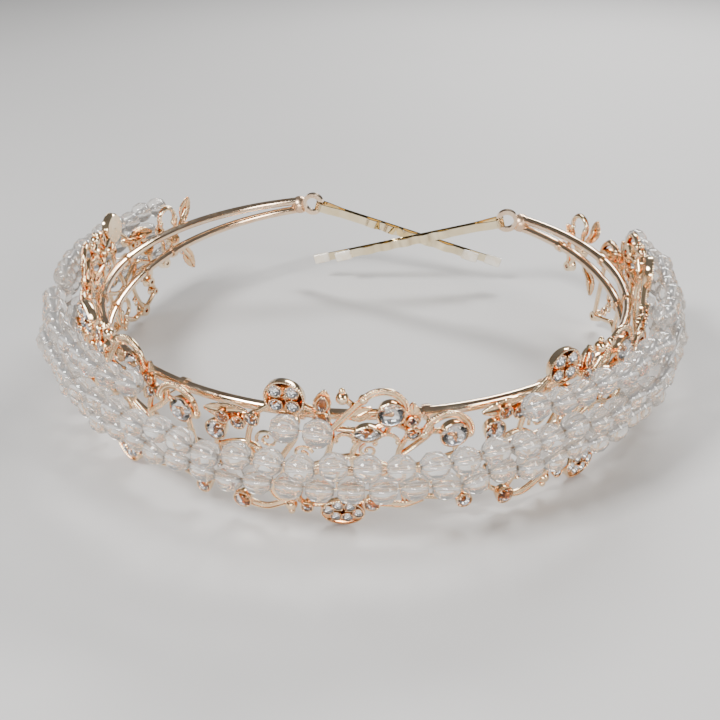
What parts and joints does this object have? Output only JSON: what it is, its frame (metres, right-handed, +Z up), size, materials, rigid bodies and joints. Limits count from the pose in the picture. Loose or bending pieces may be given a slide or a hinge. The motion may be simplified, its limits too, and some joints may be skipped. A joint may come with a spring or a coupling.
{
  "type": "bridal tiara",
  "caption": "Open ring tiara of two rose-gold wires carrying cast filigree, rhinestones and strung crystal beads, with a crossed hair grip on each end.",
  "frame": {"origin": "centre of the head ring, on the table that the tiara stands on", "axes": "+Z up, -Y to the front of the tiara, +Y to its gap, +X to the right as seen from the front"},
  "size_m": [0.1465, 0.1333, 0.0332],
  "materials": {
    "rose_gold_wire": "polished rose-gold plate on round wire",
    "rose_gold_cast": "rose-gold plate on castings, bright on the high lines and darker in the recesses",
    "pale_gold_strip": "thin pale-gold plate on sprung steel strip, mirror bright",
    "tip_lacquer": "clear champagne lacquer dip",
    "crystal_bead": "faceted clear glass with a faint champagne tint",
    "rhinestone": "foil-backed cut glass",
    "fine_wire": "fine bright rose-gold wire",
    "solder": "plated solder bead"
  },
  "bodies": {
    "band": {"upper_band_wire": "rose_gold_wire", "lower_band_wire": "rose_gold_wire", "left_end_eye": "rose_gold_wire", "right_end_eye": "rose_gold_wire", "left_solder_joint": "solder", "right_solder_joint": "solder", "side_left_casting": "rose_gold_cast", "side_left_round_stones": "rhinestone", "side_left_pave_stones": "rhinestone", "side_left_marquise_stones": "rhinestone", "side_left_beads": "crystal_bead", "side_left_stringing_wires": "fine_wire", "side_left_wire_ties": "fine_wire", "front_left_casting": "rose_gold_cast", "front_left_round_stones": "rhinestone", "front_left_pave_stones": "rhinestone", "front_left_marquise_stones": "rhinestone", "front_left_beads": "crystal_bead", "front_left_stringing_wires": "fine_wire", "front_left_wire_ties": "fine_wire", "centre_casting": "rose_gold_cast", "centre_round_stones": "rhinestone", "centre_pave_stones": "rhinestone", "centre_marquise_stones": "rhinestone", "centre_beads": "crystal_bead", "centre_stringing_wires": "fine_wire", "centre_wire_ties": "fine_wire", "front_right_casting": "rose_gold_cast", "front_right_round_stones": "rhinestone", "front_right_pave_stones": "rhinestone", "front_right_marquise_stones": "rhinestone", "front_right_beads": "crystal_bead", "front_right_stringing_wires": "fine_wire", "front_right_wire_ties": "fine_wire", "side_right_casting": "rose_gold_cast", "side_right_round_stones": "rhinestone", "side_right_pave_stones": "rhinestone", "side_right_marquise_stones": "rhinestone", "side_right_beads": "crystal_bead", "side_right_stringing_wires": "fine_wire", "side_right_wire_ties": "fine_wire", "rear_left_spray": "rose_gold_cast", "rear_left_spray_stones": "rhinestone", "rear_right_spray": "rose_gold_cast", "rear_right_spray_stones": "rhinestone", "spray_wire_ties": "fine_wire"},
    "left_grip": {"left_grip_long_leg": "pale_gold_strip", "left_grip_long_leg_tip": "tip_lacquer"},
    "left_grip_spring_leg": {"left_grip_crimped_leg": "pale_gold_strip", "left_grip_crimped_leg_tip": "tip_lacquer"},
    "right_grip": {"right_grip_long_leg": "pale_gold_strip", "right_grip_long_leg_tip": "tip_lacquer"},
    "right_grip_spring_leg": {"right_grip_crimped_leg": "pale_gold_strip", "right_grip_crimped_leg_tip": "tip_lacquer"}
  },
  "joints": [
    {"name": "left_grip_swing", "type": "hinge", "parent": "band", "child": "left_grip", "pos_m": [-0.02739, 0.05174, 0.0213], "axis": [0.0872, -0.9962, 0], "range_deg": [-60, 90]},
    {"name": "left_grip_spring", "type": "hinge", "parent": "left_grip", "child": "left_grip_spring_leg", "pos_m": [-0.02474, 0.05011, 0.0206], "axis": [-0.2696, -0.0236, -0.9627], "range_deg": [0, 5], "stiffness_Nm_per_rad": 0.05},
    {"name": "right_grip_swing", "type": "hinge", "parent": "band", "child": "right_grip", "pos_m": [0.02739, 0.05112, 0.0213], "axis": [-0.0872, 0.9962, 0], "range_deg": [-60, 90]},
    {"name": "right_grip_spring", "type": "hinge", "parent": "right_grip", "child": "right_grip_spring_leg", "pos_m": [0.02506, 0.04906, 0.0206], "axis": [-0.2696, -0.0236, 0.9627], "range_deg": [0, 5], "stiffness_Nm_per_rad": 0.05}
  ]
}
